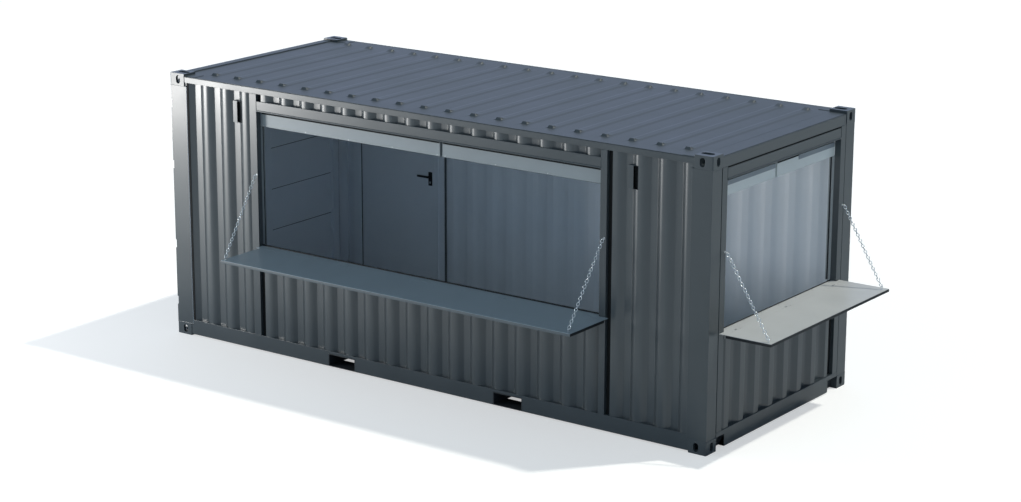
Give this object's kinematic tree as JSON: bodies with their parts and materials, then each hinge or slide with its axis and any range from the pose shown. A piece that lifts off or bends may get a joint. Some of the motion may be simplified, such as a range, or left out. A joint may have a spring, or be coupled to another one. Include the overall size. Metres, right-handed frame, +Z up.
{
  "type": "container kiosk",
  "caption": "Steel shipping container converted into a kiosk, with a long side opening and an end opening, fold-up counters on chains, and a personnel door in the back.",
  "frame": {"origin": "middle of the footprint, on the level face under the four bottom corner castings", "axes": "+X along the length to the end with the small serving opening, -Y to the long serving opening, +Z up"},
  "size_m": [6.556, 3.013, 2.591],
  "materials": {
    "anthracite_paint": "satin",
    "inner_paint": "satin",
    "shutter_grey": "satin",
    "counter_grey": "satin",
    "zinc_steel": "satin",
    "floor_boards": "matte",
    "black_seal": "matte",
    "black_plastic": "satin"
  },
  "bodies": {
    "root": {"bottom_castings": "anthracite_paint", "top_castings": "anthracite_paint", "door_end_posts": "anthracite_paint", "kiosk_end_posts": "anthracite_paint", "bottom_side_rails": "anthracite_paint", "end_bottom_rail": "anthracite_paint", "cargo_door_sill_and_header": "anthracite_paint", "cross_members": "inner_paint", "fork_pockets": "inner_paint", "floor_boards": "floor_boards", "top_side_rails": "anthracite_paint", "end_top_rail": "anthracite_paint", "roof": "anthracite_paint", "front_wall_beside_opening": "anthracite_paint", "front_wall_under_opening": "anthracite_paint", "front_wall_over_opening": "anthracite_paint", "back_wall_beside_door": "anthracite_paint", "back_wall_over_door": "anthracite_paint", "end_wall_under_opening": "anthracite_paint", "wall_seals": "black_seal", "side_frame_posts": "anthracite_paint", "end_frame_posts": "anthracite_paint", "opening_headers": "anthracite_paint", "opening_sills": "anthracite_paint", "sill_strips": "counter_grey", "side_shutter_boxes": "shutter_grey", "end_shutter_boxes": "shutter_grey", "shutter_guides": "shutter_grey", "vents": "anthracite_paint", "wall_chain_eyes": "zinc_steel", "side_chains": "zinc_steel", "end_chains": "zinc_steel", "personnel_door_frame": "anthracite_paint", "cargo_door_lugs": "anthracite_paint"},
    "side_counter": {"side_counter": "counter_grey", "side_counter_eyes": "zinc_steel"},
    "end_counter": {"end_counter": "counter_grey", "end_counter_eyes": "zinc_steel"},
    "personnel_door": {"personnel_door": "anthracite_paint", "personnel_door_levers": "black_plastic"},
    "front_cargo_door": {"front_cargo_leaf": "anthracite_paint", "front_lock_bars": "anthracite_paint"},
    "back_cargo_door": {"back_cargo_leaf": "anthracite_paint", "back_lock_bars": "anthracite_paint"}
  },
  "joints": [
    {"name": "side_counter_hinge", "type": "hinge", "parent": "root", "child": "side_counter", "pos_m": [0.0585, -1.269, 1.033], "axis": [-1, 0, 0], "range_deg": [0, 90], "deforming": ["side_chains"]},
    {"name": "end_counter_hinge", "type": "hinge", "parent": "root", "child": "end_counter", "pos_m": [3.079, -0.007, 1.033], "axis": [0, -1, 0], "range_deg": [0, 90], "deforming": ["end_chains"]},
    {"name": "personnel_door_hinge", "type": "hinge", "parent": "root", "child": "personnel_door", "pos_m": [-2.635, 1.207, 1.185], "axis": [0, 0, 1], "range_deg": [0, 100]},
    {"name": "front_cargo_door_hinge", "type": "hinge", "parent": "root", "child": "front_cargo_door", "pos_m": [-3.009, -1.184, 1.318], "axis": [0, 0, 1], "range_deg": [0, 180]},
    {"name": "back_cargo_door_hinge", "type": "hinge", "parent": "root", "child": "back_cargo_door", "pos_m": [-3.009, 1.184, 1.318], "axis": [0, 0, -1], "range_deg": [0, 180]}
  ]
}
